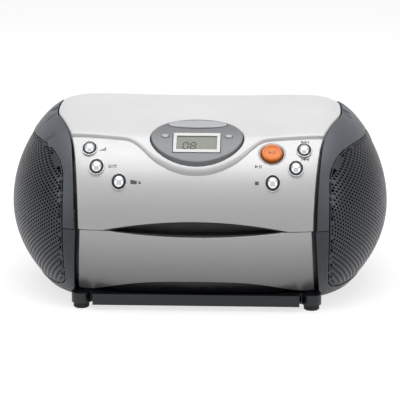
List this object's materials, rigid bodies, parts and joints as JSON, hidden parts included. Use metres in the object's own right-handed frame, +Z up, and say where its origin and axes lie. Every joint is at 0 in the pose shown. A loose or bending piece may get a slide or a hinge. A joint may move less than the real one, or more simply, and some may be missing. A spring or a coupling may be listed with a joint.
{
  "type": "portable CD player with radio",
  "caption": "Domed portable CD player and radio: top lid round a display pod, seven push buttons, side speakers behind grilles, fold-down handle, antenna, battery bay and mains inlet.",
  "frame": {"origin": "under the middle of the whole part's box, at the underside of the rubber feet", "axes": "+Z up, -Y the front with the buttons and display, +X the player's right seen from the front"},
  "size_m": [0.2986, 0.2236, 0.1487],
  "materials": {
    "slate": "fine satin texture",
    "grey_shell": "satin",
    "black_plastic": "satin",
    "silver_paint": "metallic silver paint",
    "white_gloss": "glossy",
    "grille_metal": "dark painted",
    "chrome": "polished",
    "orange_plastic": "glossy",
    "pod_grey": "satin",
    "pale_frame": "satin",
    "lcd": "smooth",
    "lamp": "smooth",
    "rubber": "matte",
    "steel": "turned",
    "board": "solder mask",
    "cone_paper": "matte",
    "ferrite": "matte",
    "gear_plastic": "natural",
    "copper": "varnished winding",
    "optic": "coated lens"
  },
  "bodies": {
    "housing": {"lower_shell": "slate", "mechanism_chassis": "slate", "upper_shell": "grey_shell", "front_chassis": "black_plastic", "base_plinth": "black_plastic", "slot_insert": "black_plastic", "cd_deck": "black_plastic", "ac_inlet": "black_plastic", "headphone_jack": "black_plastic", "lower_front_panel": "silver_paint", "upper_front_panel": "silver_paint", "grille_left": "grille_metal", "grille_right": "grille_metal", "display_pod": "pod_grey", "lcd_frame": "pale_frame", "lcd_glass": "lcd", "lamp_left": "lamp", "lamp_right": "lamp", "foot_1": "rubber", "foot_2": "rubber", "foot_3": "rubber", "foot_4": "rubber", "antenna_fork": "steel", "guide_rod_front": "steel", "guide_rod_rear": "steel", "sled_motor": "steel", "spindle_motor": "steel", "lid_hinge_pin_left": "steel", "lid_hinge_pin_right": "steel", "speaker_basket_left": "steel", "speaker_basket_right": "steel", "button_board": "board", "main_board": "board", "speaker_cone_left": "cone_paper", "speaker_cone_right": "cone_paper", "transformer": "copper"},
    "bass_boost_button_body": {"bass_boost_button": "chrome"},
    "play_mode_button_body": {"play_mode_button": "chrome"},
    "folder_up_button_body": {"folder_up_button": "chrome"},
    "next_button_body": {"next_button": "chrome"},
    "back_button_body": {"back_button": "chrome"},
    "stop_button_body": {"stop_button": "chrome"},
    "play_pause_button_body": {"play_pause_button": "orange_plastic"},
    "release_body": {"lid_release_button": "pale_frame"},
    "lid_body": {"cd_lid": "white_gloss"},
    "hub_body": {"spindle_hub": "black_plastic"},
    "sled_body": {"laser_sled": "ferrite", "laser_lens": "optic"},
    "feed_gear_body": {"feed_gear": "gear_plastic"},
    "pinion_body": {"motor_pinion": "gear_plastic"},
    "handle_body": {"handle": "slate"},
    "antenna_outer_body": {"antenna_tube_outer": "chrome"},
    "antenna_middle_body": {"antenna_tube_middle": "chrome"},
    "antenna_tip_body": {"antenna_tube_tip": "chrome"},
    "tuning_knob_body": {"tuning_knob": "slate"},
    "volume_knob_body": {"volume_knob": "slate"},
    "band_switch_body": {"band_switch": "black_plastic"},
    "function_switch_body": {"function_switch": "black_plastic"},
    "battery_door_body": {"battery_door": "slate"}
  },
  "joints": [
    {"name": "bass_boost_press", "type": "slide", "parent": "housing", "child": "bass_boost_button_body", "axis": [0, 0.607, -0.7947], "range_m": [0, 0.0009], "stiffness_N_per_m": 300, "springref_m": -0.002},
    {"name": "play_mode_press", "type": "slide", "parent": "housing", "child": "play_mode_button_body", "axis": [0, 0.7389, -0.6738], "range_m": [0, 0.0009], "stiffness_N_per_m": 300, "springref_m": -0.002},
    {"name": "folder_up_press", "type": "slide", "parent": "housing", "child": "folder_up_button_body", "axis": [0, 0.826, -0.5637], "range_m": [0, 0.0009], "stiffness_N_per_m": 300, "springref_m": -0.002},
    {"name": "next_press", "type": "slide", "parent": "housing", "child": "next_button_body", "axis": [0, 0.607, -0.7947], "range_m": [0, 0.0009], "stiffness_N_per_m": 300, "springref_m": -0.002},
    {"name": "back_press", "type": "slide", "parent": "housing", "child": "back_button_body", "axis": [0, 0.7389, -0.6738], "range_m": [0, 0.0009], "stiffness_N_per_m": 300, "springref_m": -0.002},
    {"name": "stop_press", "type": "slide", "parent": "housing", "child": "stop_button_body", "axis": [0, 0.826, -0.5637], "range_m": [0, 0.0009], "stiffness_N_per_m": 300, "springref_m": -0.002},
    {"name": "play_pause_press", "type": "slide", "parent": "housing", "child": "play_pause_button_body", "axis": [0, 0.6346, -0.7729], "range_m": [0, 0.0009], "stiffness_N_per_m": 300, "springref_m": -0.002},
    {"name": "lid_release_press", "type": "slide", "parent": "housing", "child": "release_body", "axis": [0, 0.3963, -0.9181], "range_m": [0, 0.0008], "stiffness_N_per_m": 300, "springref_m": -0.002},
    {"name": "lid_hinge", "type": "hinge", "parent": "housing", "child": "lid_body", "pos_m": [0, 0.0929, 0.0968], "axis": [-1, 0, 0], "range_deg": [0, 50]},
    {"name": "spindle_spin", "type": "hinge", "parent": "housing", "child": "hub_body", "pos_m": [0, 0.0235, 0.095], "axis": [0, 0, 1], "continuous": true},
    {"name": "sled_slide", "type": "slide", "parent": "housing", "child": "sled_body", "axis": [-1, 0, 0], "range_m": [0, 0.028]},
    {"name": "feed_gear_spin", "type": "hinge", "parent": "housing", "child": "feed_gear_body", "pos_m": [-0.038, 0.0312, 0.085], "axis": [0, 0, 1], "range_deg": [-2, 340]},
    {"name": "pinion_spin", "type": "hinge", "parent": "housing", "child": "pinion_body", "pos_m": [-0.038, 0.0151, 0.084], "axis": [0, 0, 1], "range_deg": [-1010, 5]},
    {"name": "handle_swing", "type": "hinge", "parent": "housing", "child": "handle_body", "pos_m": [0, 0.03, 0.118], "axis": [1, 0, 0], "range_deg": [0, 105]},
    {"name": "antenna_tilt", "type": "hinge", "parent": "housing", "child": "antenna_outer_body", "pos_m": [0.106, 0.0982, 0.078], "axis": [0, 1, 0], "range_deg": [0, 90]},
    {"name": "antenna_middle_slide", "type": "slide", "parent": "antenna_outer_body", "child": "antenna_middle_body", "axis": [-1, 0, 0], "range_m": [0, 0.12]},
    {"name": "antenna_tip_slide", "type": "slide", "parent": "antenna_middle_body", "child": "antenna_tip_body", "axis": [-1, 0, 0], "range_m": [0, 0.12]},
    {"name": "tuning_turn", "type": "hinge", "parent": "housing", "child": "tuning_knob_body", "pos_m": [0.1346, 0.056, 0.084], "axis": [0.91, 0.3737, 0.1796], "range_deg": [0, 320]},
    {"name": "volume_turn", "type": "hinge", "parent": "housing", "child": "volume_knob_body", "pos_m": [-0.1346, 0.056, 0.084], "axis": [-0.91, 0.3737, 0.1796], "range_deg": [0, 300]},
    {"name": "band_select", "type": "slide", "parent": "housing", "child": "band_switch_body", "axis": [-0.3706, 0.9178, 0.1425], "range_m": [-0.003, 0.003]},
    {"name": "function_select", "type": "slide", "parent": "housing", "child": "function_switch_body", "axis": [0.3706, 0.9178, 0.1425], "range_m": [-0.003, 0.003]},
    {"name": "battery_door_out", "type": "slide", "parent": "housing", "child": "battery_door_body", "axis": [0, 1, 0], "range_m": [0, 0.04]}
  ],
  "couplings": [
    {"joint": "feed_gear_spin", "follows": "sled_slide", "rad_per_m": 208.33},
    {"joint": "pinion_spin", "follows": "sled_slide", "rad_per_m": -625}
  ]
}
